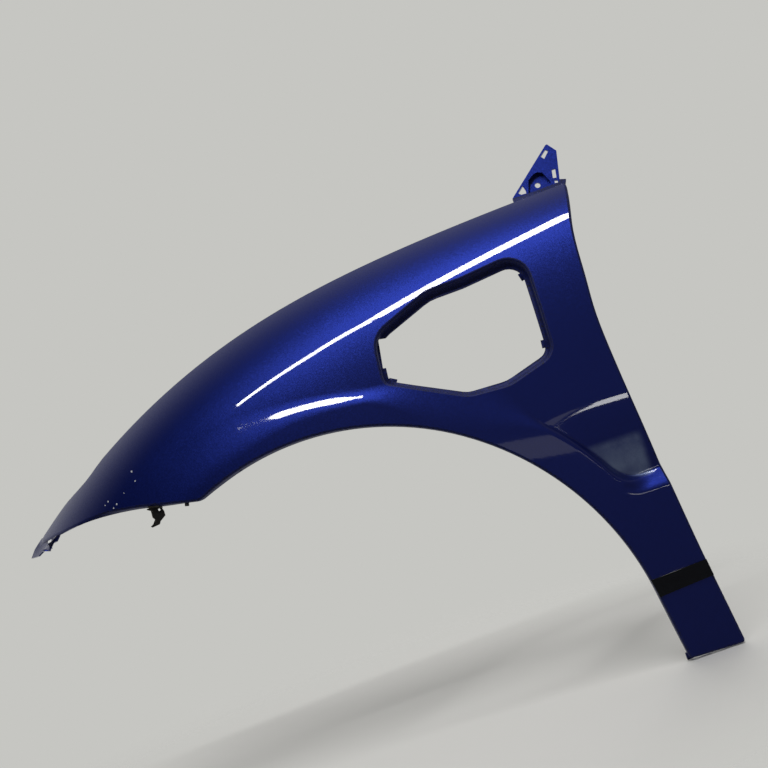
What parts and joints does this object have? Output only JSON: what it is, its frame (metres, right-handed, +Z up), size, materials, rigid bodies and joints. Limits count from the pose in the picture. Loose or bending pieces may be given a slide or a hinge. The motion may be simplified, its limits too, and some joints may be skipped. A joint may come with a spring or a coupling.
{
  "type": "car front fender",
  "caption": "Moulded front fender of a small car with a wheel arch, a side vent opening, return flanges and an upper rear bracket.",
  "frame": {"origin": "on the flat back of the upper rear bracket's pocket, beside its bolt hole", "axes": "+X to the rear of the car, +Y towards the middle of the car, +Z up"},
  "size_m": [0.9204, 0.2209, 0.733],
  "materials": {
    "blue_metallic_paint": "metallic blue basecoat under clear lacquer on moulded plastic",
    "black_gloss_trim": "polished black",
    "black_moulded_plastic": "as moulded, fine grain",
    "grey_clip_plastic": "as moulded"
  },
  "bodies": {
    "root": {"fender_skin": "blue_metallic_paint", "badge_strip": "black_gloss_trim", "bumper_bracket": "black_moulded_plastic", "liner_clip": "grey_clip_plastic"}
  },
  "joints": []
}
